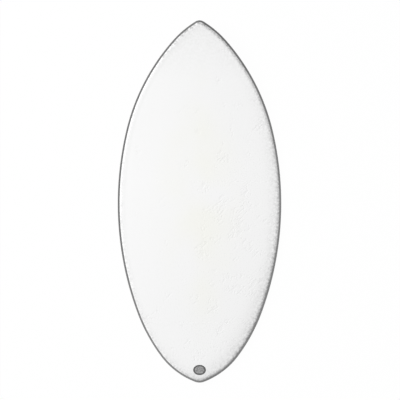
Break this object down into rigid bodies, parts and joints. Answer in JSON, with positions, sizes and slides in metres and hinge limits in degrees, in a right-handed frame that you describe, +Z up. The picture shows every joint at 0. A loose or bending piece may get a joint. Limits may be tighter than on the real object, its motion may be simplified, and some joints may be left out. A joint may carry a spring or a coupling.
{
  "type": "skimboard",
  "caption": "Pointed-oval skimboard with a foam core in glass cloth and white resin, a grey rail, round edges and a turned-up nose.",
  "frame": {"origin": "on the resting surface, under the middle of the board's box", "axes": "+Y to the nose, +X to the right of someone on the deck who faces the nose, +Z up out of the deck"},
  "size_m": [0.515, 1.1398, 0.0557],
  "materials": {
    "white_resin": "gloss",
    "rail_resin": "satin",
    "glass_laminate": "satin",
    "patch_cloth": "satin",
    "core_foam": "matte",
    "badge_film": "satin"
  },
  "bodies": {
    "root": {"foam_core": "core_foam", "perimeter_rail": "rail_resin", "deck_glass": "glass_laminate", "bottom_glass": "glass_laminate", "deck_finish_coat": "white_resin", "bottom_finish_coat": "white_resin", "nose_deck_patch": "patch_cloth", "nose_bottom_patch": "patch_cloth", "tail_deck_patch": "patch_cloth", "tail_bottom_patch": "patch_cloth", "tail_badge": "badge_film"}
  },
  "joints": []
}
